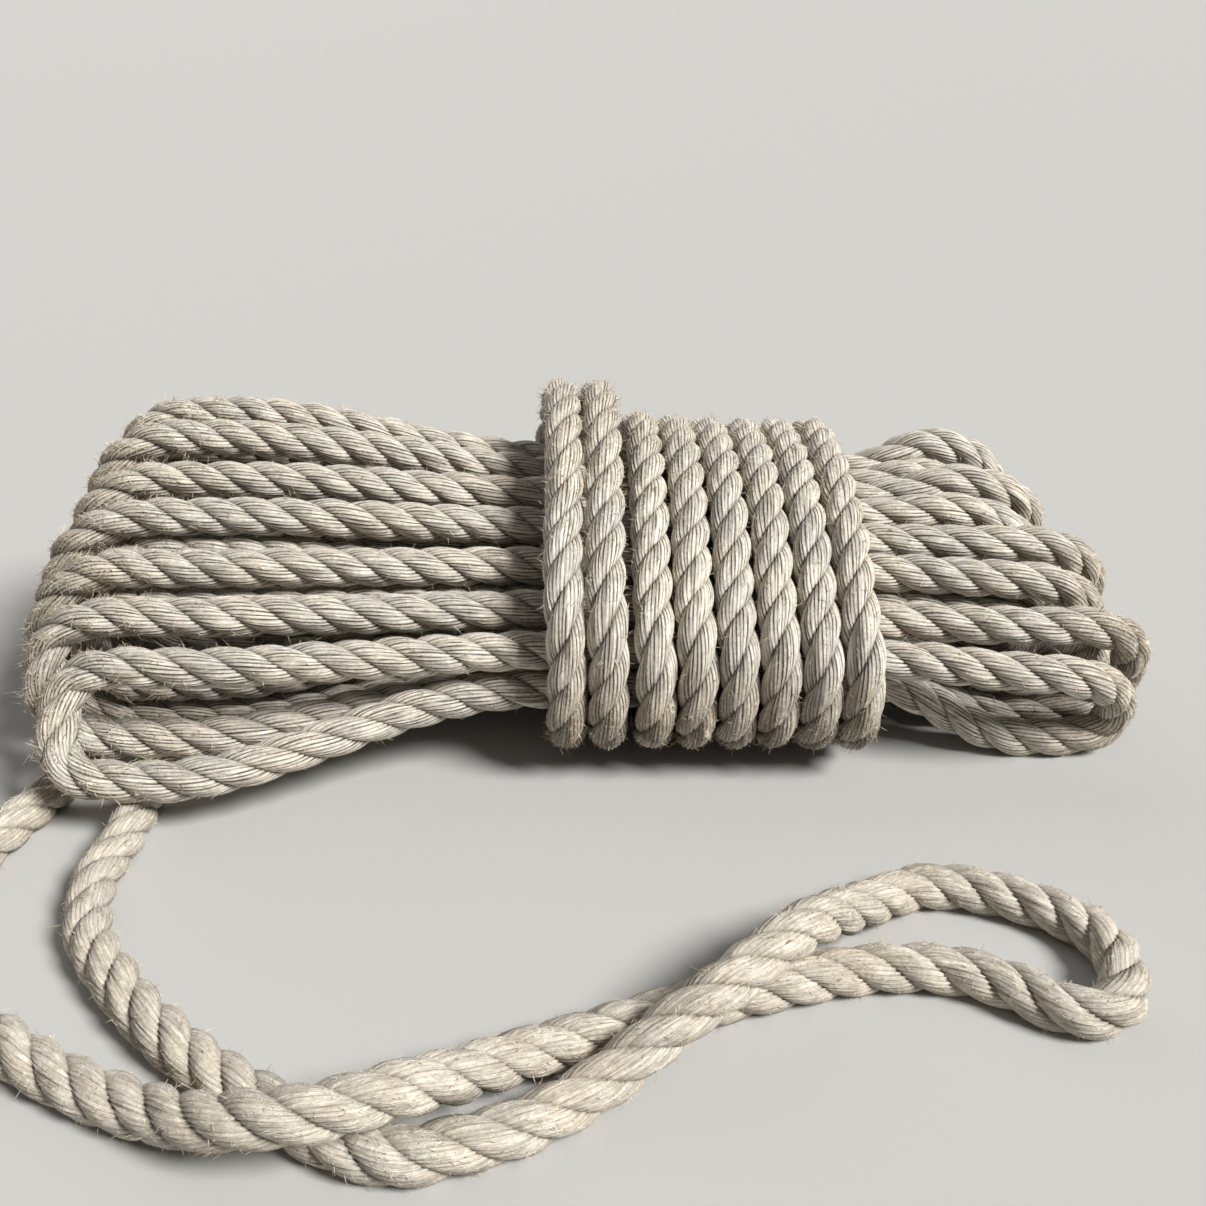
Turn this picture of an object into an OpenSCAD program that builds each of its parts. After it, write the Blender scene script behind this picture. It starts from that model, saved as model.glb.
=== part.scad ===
// Three-strand rope made up as a hank: fourteen flat loops, eight turns round the
// waist, and a doubled end lying loose in front. X runs along the hank, Y away
// from the viewer, Z up. Lengths are for a 10 mm rope and grow with rope_d.

/* [Rope] */
// Thickness of the rope as sold
rope_d = 10; // [8:0.5:12]
// Share of that thickness at which the rope is drawn, so that neighbours stay apart
drawn_share = 0.9; // [0.8:0.01:0.92]

/* [Loops] */
// Distance between neighbouring columns of loops at the waist
column_step = 10.4; // [10.4:0.1:11.4]
// Distance between neighbouring columns at the left end
left_step = 13.2; // [13:0.1:14]
// Distance between neighbouring columns at the right end
right_step = 12; // [12:0.1:13]
// Distance of the front column from the depth datum, at the waist
waist_front = 36.4; // [36:0.1:37]
// The same at the left end
left_front = 51; // [50.5:0.1:51.5]
// The same at the right end
right_front = 43; // [42.5:0.1:43.5]
// Reach of the loops past the left edge of the turns
left_reach = 143; // [136:1:160]
// Reach of the loops past the right edge of the turns
right_reach = 68; // [67:1:85]

/* [Turns] */
// Number of turns round the waist
turn_count = 8; // [6:1:8]
// Distance between neighbouring turns
turn_step = 10.2; // [10.2:0.05:10.6]
// Distance of the turns' centre line from that of the outer runs
turn_stand = 11; // [11:0.05:11.4]
// How far the loose turns rise over the others
loose_rise = 9.5; // [0:0.5:12]

/* [Doubled end] */
// Height of the rope where it crosses over itself
cross_height = 16.2; // [16.2:0.1:18]

/* [Hidden] */

u = rope_d / 10;                 // everything grows with the rope
tube_r = rope_d * drawn_share / 2;
floor_sink = 1.4;                // how far the lowest rope is pressed into the floor's flat
sides = 6;
rope_colour = [0.66, 0.63, 0.56];

// ---- columns of loops, front to back; the ninth holds only the last lower run ----
columns = 8;
loops_in = [1, 1, 2, 2, 2, 2, 2, 2, 1];
waist_l = -2;
waist_r = waist_l + turn_step * turn_count - 7.6;
left_x = waist_l - left_reach + 40;
right_x = waist_r + right_reach - 28;
// heights of the top and bottom runs: left end, waist's left, waist's right, right end
top_l = [37, 44, 51.2, 60, 65.2, 72.4, 75, 70, 50];
top_w = [34.5, 40.5, 48, 54.5, 59, 61, 61.5, 55, 40];
top_v = [31, 37, 45.8, 50, 53, 54, 54, 55, 40];
top_r = [31, 38, 45.6, 50.3, 57.3, 61.4, 65, 67.7, 40];
low_l = [14.8, 14.8, 9.5, 6, 5, 5, 5, 8, 8];
low_w = [23, 18.7, 16.2, 15.9, 15.9, 15.9, 16.5, 20.2, 24];
low_r = [5, 5, 5, 5, 5, 5, 6, 8, 9];
// how far each column stops short of the reach, and how long its fold is
short_l = [15, 6, 1, 0, 1.5, 3, 5.5, 9, 23];
short_r = [14, 1, 1, 3.1, 10.8, 14.7, 17.5, 21, 22];
fold_l = [35, 34, 32, 30, 27, 25, 23, 23, 23];
fold_r = [34, 34, 31.2, 28.6, 27.5, 29.3, 26, 25.8, 18];
splay = [15, 9, 4, 1, 0, 0, 0, 0, 0];   // lower runs lie this much further forward
nest = 11;                       // a fold of an inner loop lies this far inside the next
// how far the inner runs lie inside the outer ones, at each end and as a share at the waist
nest_l = [11, 11, 11, 10.2, 11.6, 12.8, 11, 11, 11];
nest_r = [11, 11, 11.7, 13, 10.2, 10.2, 10.2, 11.6, 11];
nest_waist = [0.333, 0.333, 0.333, 0.347, 0.347, 0.347, 0.347, 0.347, 0.333];
round_fold = 1.2;                // a fold is at most this long, in shares of half its height
bulge = 10.4;                    // a right fold from an inner run to the outer one below it goes
draw_in = 18;                    // this much further out at the bottom and less far at the top
inner_join = 23.3;               // and one between two inner runs stops this far short

function clamp(t) = min(max(t, 0), 1);
function ease(t) = let(c = clamp(t)) c * c * (3 - 2 * c);
function unit(v) = v / norm(v);
function mix(x, l, w, r, pl = 1.7, quick = 1) = w
    + (l - w) * pow(sin(90 * clamp(quick * (waist_l - x) / (waist_l - left_x))), pl)
    + (r - w) * pow(sin(90 * clamp((x - waist_r) / (right_x - waist_r))), 1.7);
function waist_y(k) = column_step * k - waist_front;
function depth_at(k, up, x) = mix(x, left_step * k - left_front - (up ? 0 : splay[k]),
    waist_y(k), right_step * k - right_front, up || k > 3 ? 1.7 : 3.2);
function waist_top(k, x) = top_w[k] + (top_v[k] - top_w[k])
    * clamp((x - waist_l) / (waist_r - waist_l));
function top_at(k, x) = mix(x, top_l[k], waist_top(k, x), top_r[k], k > 5 ? 2.3 : 1.7);
function low_at(k, x) = k > 3 ? mix(x, low_l[k], low_w[k], low_r[k], 4, 1.5)
    : mix(x, low_l[k], low_w[k], low_r[k], 3.2);
// height of a run: v counts the nested loops of a column from the inside
function height_at(k, v, up, x) = let(
    step = mix(x, nest_l[k], (waist_top(k, x) - low_w[k]) * nest_waist[k],
        nest_r[k], 5),
    in = (loops_in[k] - 1 - v) * step
) up ? top_at(k, x) - in : low_at(k, x) + in;
function fold_size(side, k, v) = let(inside = nest * (loops_in[k] - 1 - v))
    side < 0 ? min(fold_l[k] - inside / 1.3, round_fold * ((top_l[k] - low_l[k]) / 2 - inside))
    : min(fold_r[k] - inside / 1.3, round_fold * ((top_r[k] - low_r[k]) / 2 - inside));
function end_x(side, k) = side < 0 ? waist_l - left_reach + short_l[k]
    : waist_r + right_reach - short_r[k];

// loops in the order in which the rope is laid: [column, nested loop]
function inward(k) = k < 3 ? true : k % 2 == 0;
order = [for (k = [0 : columns - 1]) for (j = [0 : loops_in[k] - 1])
    [k, inward(k) ? loops_in[k] - 1 - j : j]];
loops = len(order);
function after(i) = i + 1 < loops ? order[i + 1] : [columns, 0];

// outermost x of the fold that leads from loop a to loop b
function fold_end(side, a, b, here) =
    side < 0 ? end_x(-1, a[0]) + nest * (loops_in[a[0]] - 1 - a[1])
    : a[0] == b[0] ? end_x(1, a[0]) + (a[1] > b[1] ? -nest : here == b ? bulge : -draw_in)
    : (loops_in[a[0]] > 1 && a[1] == 0) || (loops_in[b[0]] > 1 && b[1] == 0)
        ? min(end_x(1, a[0]), end_x(1, b[0])) - inner_join
    : end_x(1, here[0]);
// share of a fold at which it starts to cross to the next column
function cross_from(a, b) = a[0] == b[0] ? 0.2 : loops_in[a[0]] > 1 && a[1] == 0 ? 0.3 : 0.1;
function fold_root(side, a, b, here) =
    fold_end(side, a, b, here) - side * fold_size(side, here[0], here[1]);

function run_point(a, up, x) = [x, depth_at(a[0], up, x), height_at(a[0], a[1], up, x)];
// f runs from 0 to 1 round the fold; from_up tells which run it starts on
function fold_point(side, a, b, from_up, f) = let(
    c0 = fold_root(side, a, b, a), c1 = fold_root(side, a, b, b),
    p0 = run_point(a, from_up, c0), p1 = run_point(b, !from_up, c1),
    c = cos(180 * f), s = max(sin(180 * f), 0),
    m = (1 - sign(c) * pow(abs(c), 1 / 1.125)) / 2,
    size = fold_size(side, a[0], a[1]) * (1 - m) + fold_size(side, b[0], b[1]) * m,
    across = ease((f - cross_from(a, b)) / 0.6)
) [c0 + (c1 - c0) * m + side * size * pow(s, 1 / 1.125),
   p0[1] + (p1[1] - p0[1]) * across, p0[2] + (p1[2] - p0[2]) * m];

tail_x = waist_r + 26;           // where the last lower run turns into straight rope
join = [tail_x - 10, depth_at(columns, false, tail_x), height_at(columns, 0, false, tail_x)];
function between(a, b, fr) = [for (f = fr) a + (b - a) * f];
hank_path = [
    for (i = [0 : loops - 1]) let(
        a = order[i], b = after(i),
        x0 = i == 0 ? waist_l + 16 : fold_root(1, order[i - 1], a, a),
        xl = fold_root(-1, a, a, a), xr = fold_root(1, a, b, a))
    each concat(
        [for (x = concat(i == 0 ? [x0] : between(x0, waist_r, [0.4, 1]),
            between(waist_l, xl, [0.18, 0.38, 0.6, 0.82]))) run_point(a, false, x)],
        [for (f = [0 : 6]) fold_point(-1, a, a, false, f / 6)],
        [for (x = concat(between(xl, waist_l, [0.3, 0.65, 1]), between(waist_r, xr, [0, 0.5])))
            run_point(a, true, x)],
        [for (f = [0 : 5]) fold_point(1, a, b, true, f / 5)]),
    join + [10, 0, 0], join
];

// ---- turns: the curve keeps a set distance from the soft hull of the runs ----
loose_from = turn_count - 2.4;
start_angle = -62;
hull_y = [for (k = [0 : columns - 1]) each [waist_y(k), waist_y(k)]];
function turn_point(t) = let(
    a = start_angle - 360 * t,
    loose = ease((t - loose_from) / 0.5),
    high = pow(max(sin(a), 0), 1.5),
    x = waist_r - 5.9 - turn_step * t - 2.1 * sin(a + 141) - 1.5 * loose,
    hull_z = [for (k = [0 : columns - 1]) each [waist_top(k, x), low_w[k]]],
    lean = [for (i = [0 : len(hull_y) - 1]) hull_y[i] * cos(a) + hull_z[i] * sin(a)],
    most = max(lean),
    w = [for (v = lean) exp(v - most)],
    all = w * [for (v = w) 1]
) [x, w * hull_y / all + turn_stand * cos(a) - 3 * loose * high,
   w * hull_z / all + turn_stand * sin(a) + loose_rise * loose * high];
function bezier(a, b, c, d, t) = a * pow(1 - t, 3) + b * 3 * t * pow(1 - t, 2)
    + c * 3 * t * t * (1 - t) + d * pow(t, 3);
last_t = turn_count - 0.15;
turn_first = turn_point(0);
turn_last = turn_point(last_t);
way_in = unit(turn_point(0.01) - turn_first);
way_out = unit(turn_last - turn_point(last_t - 0.01));
tuck = turn_last + way_out * 13 + [-15, 0, 0];
tuck_end = [tuck[0], waist_y(columns) + 1.7, tuck[2]];
turn_path = concat(
    [join, join - [10, 0, 0]],
    [for (t = [0.25, 0.5, 0.75]) bezier(join - [10, 0, 0], join - [17, 0, 0],
        turn_first - way_in * 9, turn_first, t)],
    [for (i = [0 : 24 * turn_count - 4]) turn_point(last_t * i / (24 * turn_count - 4))],
    [for (t = [0.25, 0.5, 0.75, 1]) bezier(turn_last, turn_last + way_out * 9,
        tuck_end + [9, 0, 0], tuck_end, t)],
    [tuck_end - [12, 0, 0]]);

// ---- doubled end on the floor; both legs go in under the hank's left end ----
floor_h = 5;
mid_h = 10;
bight_route = [
    [-115, -38, 5], [-112, -65, 5], [-112, -76, 5], [-113, -88, 5], [-111, -99, 5],
    [-107, -110, 5], [-99, -120, 5], [-90, -130, 5], [-81, -138, 5], [-72, -145, 5],
    [-63, -151, 5], [-53, -157, 5], [-43, -162, 5], [-34, -164, 5], [-26, -162, 5],
    [-17, -159, 5], [-8, -154, 5], [1, -148, 6.5], [10, -142, 10], [20, -136, 14],
    [30, -128, 16], [40, -118, 15.5], [50, -107, 10], [60, -98, 6], [69, -93, 5],
    [78, -93, 5], [88, -96, 5], [97, -101, 5], [104, -109, 5], [105, -118, 5],
    [102, -127, 5], [95, -131, 5], [88, -129, 5], [81, -123, 5], [71, -119, 5],
    [61, -118, 5], [50, -119, 5], [39, -122, 5], [29, -125, 5], [19, -128, 5],
    [9, -132, 5], [0, -136, 5], [-10, -140, 5.5], [-18, -145, 7.5], [-26, -152, 11],
    [-34, -158, 14.5], [-42, -163, 16], [-51, -165, 16], [-60, -164, 14], [-69, -161, 10],
    [-79, -156, 6.5], [-90, -151, 5], [-102, -145, 5], [-115, -137, 5], [-128, -127, 5],
    [-139, -114, 5], [-144, -100, 5], [-144, -88, 5], [-141, -76, 5], [-138, -64, 5],
    [-135, -52, 5], [-132, -38, 5]
];
// heights between the floor and a crossing grow with cross_height
bight_path = [for (p = bight_route)
    [p[0], p[1], floor_h + (p[2] - floor_h) * (cross_height - floor_h) / 11.2]];

// ---- tube swept along a path, its rings carried along without twist ----
function tangents(p) = [for (i = [0 : len(p) - 1])
    unit(p[min(i + 1, len(p) - 1)] - p[max(i - 1, 0)])];
function carried(n, t) = unit(n - t * (n * t));
function normals(t, n0) = [for (i = 0, n = carried(n0, t[0]); i < len(t);
    i = i + 1, n = i < len(t) ? carried(n, t[i]) : n) n];
function ring_points(path, count, n0) = let(
    p = [for (v = path) (v - [0, 0, floor_sink]) * u], t = tangents(p), n = normals(t, n0)
) [for (i = [0 : len(p) - 1]) let(b = cross(t[i], n[i])) for (j = [0 : count - 1])
    p[i] + tube_r * (cos(360 * j / count) * n[i] + sin(360 * j / count) * b)];
hank_rings = ring_points(hank_path, sides, [0, 0, 1]);
turn_rings = ring_points(turn_path, sides, [0, 0, 1]);
bight_rings = ring_points(bight_path, 8, [0, 0, 1]);
// the frame stands at the middle of the whole object's floor box
function low_of(i) = min([for (q = [hank_rings, turn_rings, bight_rings]) each [for (p = q) p[i]]]);
function high_of(i) = max([for (q = [hank_rings, turn_rings, bight_rings]) each [for (p = q) p[i]]]);
centre = [(low_of(0) + high_of(0)) / 2, (low_of(1) + high_of(1)) / 2, 0];

module tube(points, count) {
    rings = len(points) / count;
    walls = [for (i = [0 : rings - 2]) for (j = [0 : count - 1]) let(
        q = (j + 1) % count, a = i * count + j, b = i * count + q)
        each [[a, b + count, b], [a, a + count, b + count]]];
    caps = [for (j = [1 : count - 2])
        each [[0, j, j + 1], (rings - 1) * count * [1, 1, 1] + [0, j + 1, j]]];
    // the rope is pressed flat where it rests on the floor
    translate(-centre) intersection() {
        polyhedron(points, concat(walls, caps));
        translate([-200, -220, 0] * u) cube([400, 320, 120] * u);
    }
}

// ---- least gap, measured from every ring and half-way point to every straight piece ----
function to_piece(p, a, b) = let(d = b - a, s = clamp((p - a) * d / (d * d))) norm(p - a - d * s);
function least_gap(p, q, skip) = min([for (i = [0 : len(p) - 2])
    for (m = [p[i], (p[i] + p[i + 1]) / 2])
        for (j = [0 : 1 : skip == 0 ? len(q) - 2 : i - skip]) to_piece(m, q[j], q[j + 1])]) * u - 2 * tube_r;
echo(loops = loops, turns = turn_count, centre = centre);
echo(gap_in_loops = least_gap(hank_path, hank_path, 6));
echo(gap_in_turns = least_gap(turn_path, turn_path, 8));
echo(gap_in_doubled_end = least_gap(bight_path, bight_path, 5));
echo(gap_turns_to_loops = least_gap([for (i = [4 : len(turn_path) - 1]) turn_path[i]],
    [for (i = [0 : len(hank_path) - 4]) hank_path[i]], 0));
echo(gap_doubled_end_to_loops = least_gap(bight_path, hank_path, 0));
function path_length(p) = u * [for (i = [1 : len(p) - 1]) norm(p[i] - p[i - 1])]
    * [for (i = [1 : len(p) - 1]) 1];
echo(rope_length = path_length(hank_path) + path_length(turn_path) + path_length(bight_path));

module hank_loops() color(rope_colour) tube(hank_rings, sides);
module waist_turns() color(rope_colour) tube(turn_rings, sides);
module loose_bight() color(rope_colour) tube(bight_rings, 8);

hank_loops();
waist_turns();
loose_bight();
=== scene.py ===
"""Rope hank: one length of three-strand laid rope, flaked into flat loops, bound
with turns round the waist, its doubled end lying loose in front.

Everything is in metres in the frame of the solid model: X along the hank, Y away
from the viewer, Z up, the floor at Z = 0. Routes are worked out in millimetres
with the same formulas as the solid model and turned into metres at the end.
"""

import math

import bpy
import numpy as np
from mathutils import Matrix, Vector, kdtree


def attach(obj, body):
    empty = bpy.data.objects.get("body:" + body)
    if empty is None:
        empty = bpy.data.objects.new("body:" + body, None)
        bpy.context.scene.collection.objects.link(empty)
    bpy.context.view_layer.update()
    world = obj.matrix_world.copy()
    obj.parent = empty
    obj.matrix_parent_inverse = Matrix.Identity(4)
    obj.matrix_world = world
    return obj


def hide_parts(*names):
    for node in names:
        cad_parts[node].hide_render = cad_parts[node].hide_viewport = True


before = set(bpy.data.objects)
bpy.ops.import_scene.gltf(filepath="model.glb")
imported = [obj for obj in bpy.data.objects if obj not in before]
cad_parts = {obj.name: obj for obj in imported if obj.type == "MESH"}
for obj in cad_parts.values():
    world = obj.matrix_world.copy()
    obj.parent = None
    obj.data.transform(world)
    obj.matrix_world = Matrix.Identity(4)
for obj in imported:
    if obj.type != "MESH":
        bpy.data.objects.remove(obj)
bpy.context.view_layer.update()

MM = 0.001
CENTRE = np.array([-3.672, -56.736, 0.0])   # the frame's origin on the routes' own axes
REST = 0.5                                  # how far the lowest rope is pressed down

# ---- rope ----
HANK_LAY = 31.0       # a strand's full turn along the rope, pulled longer in the hank
LOOSE_LAY = 28.0      # and as it is at rest
STRANDS = 3
STRAND_OFF = 2.46     # centre of a strand from the rope's centre line
STRAND_HIGH = 2.40    # half a strand's section, outwards from the rope's centre
STRAND_WIDE = 2.74    # and across, where its neighbours squash it
YARNS = 16            # yarns that show round one strand
YARN_DEPTH = 0.23     # how far a yarn's crest and valley lie from the strand's surface
YARN_TWIST = -1.75    # turns of the yarns round their strand for each turn of the strand
STRAND_STRETCH = 1.13 # length of a strand for each length of rope
YARN_ROUND = 2.6      # radius at which the yarns' own coordinates are laid out
STRAND_APART = 9.0    # and how far apart the three strands lie in them
FLOOR_CLEAR = 0.02    # the rope's pressed underside lies this far over the floor
RING_STEP = 1.3
LOOSE_RING_STEP = 1.1 # in the doubled end, whose lay is shorter
HIDDEN_STEP = 2.2     # for loops that lie inside others
COVERED_STEP = 4.0    # and for all of them under the turns

# ---- hank, the values of the solid model ----
COLUMNS = 8
LOOPS_IN = [1, 1, 2, 2, 2, 2, 2, 2, 1]
COLUMN_STEP, LEFT_STEP, RIGHT_STEP = 10.4, 13.2, 12.0
WAIST_FRONT, LEFT_FRONT, RIGHT_FRONT = 36.4, 51.0, 43.0
TURN_COUNT, TURN_STEP, TURN_STAND = 8, 10.2, 11.0
TURN_START = -62      # angle in degrees at which the first turn begins
FIRST_TURN_IN = 5.9   # its place, in from the waist's right edge
TURN_LEAN, LEAN_ANGLE = 2.1, 141     # how far a turn sways along X, and its phase
LOOSE_TURNS = 2.4     # turns at the left that are loose
WAIST_L = -2.0
WAIST_R = WAIST_L + TURN_STEP * TURN_COUNT - 7.6
LEFT_REACH, RIGHT_REACH = 143.0, 68.0
LEFT_X = WAIST_L - LEFT_REACH + 40
RIGHT_X = WAIST_R + RIGHT_REACH - 28
TOP_L = np.array([37, 44, 51.2, 60, 65.2, 72.4, 75, 70, 50])
TOP_W = np.array([34.5, 40.5, 48, 54.5, 59, 61, 61.5, 55, 40])
TOP_V = np.array([31, 37, 45.8, 50, 53, 54, 54, 55, 40])
TOP_R = np.array([31, 38, 45.6, 50.3, 57.3, 61.4, 65, 67.7, 40])
LOW_L = np.array([14.8, 14.8, 9.5, 6, 5, 5, 5, 8, 8])
LOW_W = np.array([23, 18.7, 16.2, 15.9, 15.9, 15.9, 16.5, 20.2, 24])
LOW_R = np.array([5, 5, 5, 5, 5, 5, 6, 8, 9])
SHORT_L = np.array([15, 6, 1, 0, 1.5, 3, 5.5, 9, 23])
SHORT_R = np.array([14, 1, 1, 3.1, 10.8, 14.7, 17.5, 21, 22])
FOLD_L = np.array([35, 34, 32, 30, 27, 25, 23, 23, 23])
FOLD_R = np.array([34, 34, 31.2, 28.6, 27.5, 29.3, 26, 25.8, 18])
SPLAY = np.array([15, 9, 4, 1, 0, 0, 0, 0, 0])
NEST = 11.0
NEST_L = np.array([11, 11, 11, 10.2, 11.6, 12.8, 11, 11, 11])
NEST_R = np.array([11, 11, 11.7, 13, 10.2, 10.2, 10.2, 11.6, 11])
NEST_WAIST = np.array([0.333, 0.333, 0.333, 0.347, 0.347, 0.347, 0.347, 0.347, 0.333])
ROUND_FOLD = 1.2
FOLD_SQUARE = 1.125   # a fold's superellipse: 1 is round, more is squarer
BULGE, DRAW_IN = 10.4, 18.0
INNER_JOIN = 23.3
LOOSE_RISE = 9.5


def ease(t):
    """Smooth step: 3t^2 - 2t^3 between 0 and 1, flat outside."""
    t = np.clip(t, 0, 1)
    return t * t * (3 - 2 * t)


def mix(x, left, waist, right, power=1.7, quick=1.0):
    """The waist's value, leaning to the left or right end's by a power of a sine."""
    toward_l = np.sin(np.pi / 2 * np.clip(quick * (WAIST_L - x) / (WAIST_L - LEFT_X), 0, 1))
    toward_r = np.sin(np.pi / 2 * np.clip((x - WAIST_R) / (RIGHT_X - WAIST_R), 0, 1))
    return waist + (left - waist) * toward_l**power + (right - waist) * toward_r**1.7


def waist_y(k):
    return COLUMN_STEP * k - WAIST_FRONT


def depth_at(k, up, x):
    left = LEFT_STEP * k - LEFT_FRONT - (0 if up else SPLAY[k])
    power = 1.7 if up or k > 3 else 3.2
    return mix(x, left, waist_y(k), RIGHT_STEP * k - RIGHT_FRONT, power)


def waist_top(k, x):
    share = np.clip((x - WAIST_L) / (WAIST_R - WAIST_L), 0, 1)
    return TOP_W[k] + (TOP_V[k] - TOP_W[k]) * share


def height_at(k, v, up, x):
    """Height of a run; v counts the nested loops of a column from the inside."""
    top = mix(x, TOP_L[k], waist_top(k, x), TOP_R[k], 2.3 if k > 5 else 1.7)
    low = mix(x, LOW_L[k], LOW_W[k], LOW_R[k], *((4.0, 1.5) if k > 3 else (3.2, 1.0)))
    step = mix(x, NEST_L[k], (waist_top(k, x) - LOW_W[k]) * NEST_WAIST[k], NEST_R[k], 5.0)
    inside = (LOOPS_IN[k] - 1 - v) * step
    return top - inside if up else low + inside


def end_x(side, k):
    if side < 0:
        return WAIST_L - LEFT_REACH + SHORT_L[k]
    return WAIST_R + RIGHT_REACH - SHORT_R[k]


def fold_size(side, k, v):
    inside = NEST * (LOOPS_IN[k] - 1 - v)
    fold, top, low = (FOLD_L, TOP_L, LOW_L) if side < 0 else (FOLD_R, TOP_R, LOW_R)
    return min(fold[k] - inside / 1.3, ROUND_FOLD * ((top[k] - low[k]) / 2 - inside))


def laying_order():
    """Loops as they are laid: (column, nested loop), inwards or outwards in turn."""
    order = []
    for k in range(COLUMNS):
        inward = k < 3 or k % 2 == 0
        nested = range(LOOPS_IN[k])
        order += [(k, v) for v in (reversed(nested) if inward else nested)]
    return order


def fold_end(side, a, b, here):
    """Outermost X of the fold that leads from loop a to loop b."""
    (ka, va), (kb, vb) = a, b
    na, nb = LOOPS_IN[ka], LOOPS_IN[kb]
    if side < 0:
        return end_x(-1, ka) + NEST * (na - 1 - va)
    if ka == kb:
        if va > vb:
            return end_x(1, ka) - NEST
        return end_x(1, ka) + (BULGE if here == b else -DRAW_IN)
    if (na > 1 and va == 0) or (nb > 1 and vb == 0):
        return min(end_x(1, ka), end_x(1, kb)) - INNER_JOIN
    return end_x(1, here[0])


def fold_root(side, a, b, here):
    return fold_end(side, a, b, here) - side * fold_size(side, *here)


def run(a, up, x0, x1):
    """A loop's top or bottom run between two places along X."""
    x = np.linspace(x0, x1, max(int(abs(x1 - x0) / 1.5), 2))
    return np.stack([x, depth_at(a[0], up, x), height_at(*a, up, x)], 1)


def cross_from(a, b):
    """Share of a fold at which it starts to cross to the next column."""
    if a[0] == b[0]:
        return 0.2
    return 0.3 if LOOPS_IN[a[0]] > 1 and a[1] == 0 else 0.1


def fold(side, a, b, from_up):
    """Half a superellipse in X and Z, carried over in Y by a smooth step."""
    c0, c1 = fold_root(side, a, b, a), fold_root(side, a, b, b)
    f = np.linspace(0, 1, 49)
    c, s = np.cos(np.pi * f), np.clip(np.sin(np.pi * f), 0, 1)
    m = (1 - np.sign(c) * np.abs(c) ** (1 / FOLD_SQUARE)) / 2
    size = fold_size(side, *a) * (1 - m) + fold_size(side, *b) * m
    y0, y1 = depth_at(a[0], from_up, c0), depth_at(b[0], not from_up, c1)
    z0, z1 = height_at(*a, from_up, c0), height_at(*b, not from_up, c1)
    return np.stack([c0 + (c1 - c0) * m + side * size * s ** (1 / FOLD_SQUARE),
                     y0 + (y1 - y0) * ease((f - cross_from(a, b)) / 0.6),
                     z0 + (z1 - z0) * m], 1)


TAIL_X = WAIST_R + 26
JOIN = np.array([TAIL_X - 10, depth_at(COLUMNS, False, TAIL_X),
                 height_at(COLUMNS, 0, False, TAIL_X)])


def hank_route():
    """All the loops in laying order, and the number of points before each loop."""
    order, parts, starts = laying_order(), [], []
    x0 = WAIST_L + 16
    for i, a in enumerate(order):
        b = order[i + 1] if i + 1 < len(order) else (COLUMNS, 0)
        xl, xr = fold_root(-1, a, a, a), fold_root(1, a, b, a)
        starts.append(sum(map(len, parts)))
        parts += [run(a, False, x0, xl), fold(-1, a, a, False),
                  run(a, True, xl, xr), fold(1, a, b, True)]
        x0 = fold_root(1, a, b, b)
    parts += [JOIN + np.array([[10.0, 0, 0], [5, 0, 0], [0, 0, 0]])]
    return np.concatenate(parts), starts


def turn_point(t):
    """Round the soft hull of the runs: their mean, weighted towards the outermost,
    plus the stand-off; t counts turns from the first at the right."""
    t = np.atleast_1d(t)
    a = np.radians(TURN_START - 360 * t)
    loose = ease((t - (TURN_COUNT - LOOSE_TURNS)) / 0.5)
    high = np.clip(np.sin(a), 0, 1) ** 1.5
    x = (WAIST_R - FIRST_TURN_IN - TURN_STEP * t
         - TURN_LEAN * np.sin(a + math.radians(LEAN_ANGLE)) - 1.5 * loose)
    k = np.arange(COLUMNS)
    y = np.tile(waist_y(k), 2)[None, :] + 0 * x[:, None]
    tops = waist_top(k[None, :], x[:, None])
    z = np.concatenate([tops, LOW_W[:COLUMNS] + 0 * tops], 1)
    lean = y * np.cos(a)[:, None] + z * np.sin(a)[:, None]
    w = np.exp(lean - lean.max(1, keepdims=True))
    w /= w.sum(1, keepdims=True)
    return np.stack([x, (w * y).sum(1) + TURN_STAND * np.cos(a) - 3 * loose * high,
                     (w * z).sum(1) + TURN_STAND * np.sin(a) + LOOSE_RISE * loose * high], 1)


def bezier(a, b, c, d, count=16):
    t = np.linspace(0, 1, count)[:, None]
    return a * (1 - t) ** 3 + b * 3 * t * (1 - t) ** 2 + c * 3 * t**2 * (1 - t) + d * t**3


def unit(v):
    return v / np.linalg.norm(v, axis=-1, keepdims=True)


def turns_route():
    """From the last loop round the waist, then tucked along the back."""
    last = TURN_COUNT - 0.15
    t = np.linspace(0, last, 180 * TURN_COUNT)
    wound = turn_point(t)
    way_in = unit(wound[1] - wound[0])
    way_out = unit(wound[-1] - wound[-2])
    back = np.array([1.0, 0, 0])
    tuck = wound[-1] + way_out * 13 - 15 * back
    tuck[1] = waist_y(COLUMNS) + 1.7
    way = bezier(JOIN - 10 * back, JOIN - 17 * back, wound[0] - way_in * 9, wound[0])
    away = bezier(wound[-1], wound[-1] + way_out * 9, tuck + 9 * back, tuck)
    return np.concatenate([JOIN - np.array([[0, 0, 0], [5, 0, 0]]), way, wound[1:],
                           away[1:], tuck - np.array([[6, 0, 0], [12, 0, 0]])])


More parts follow.
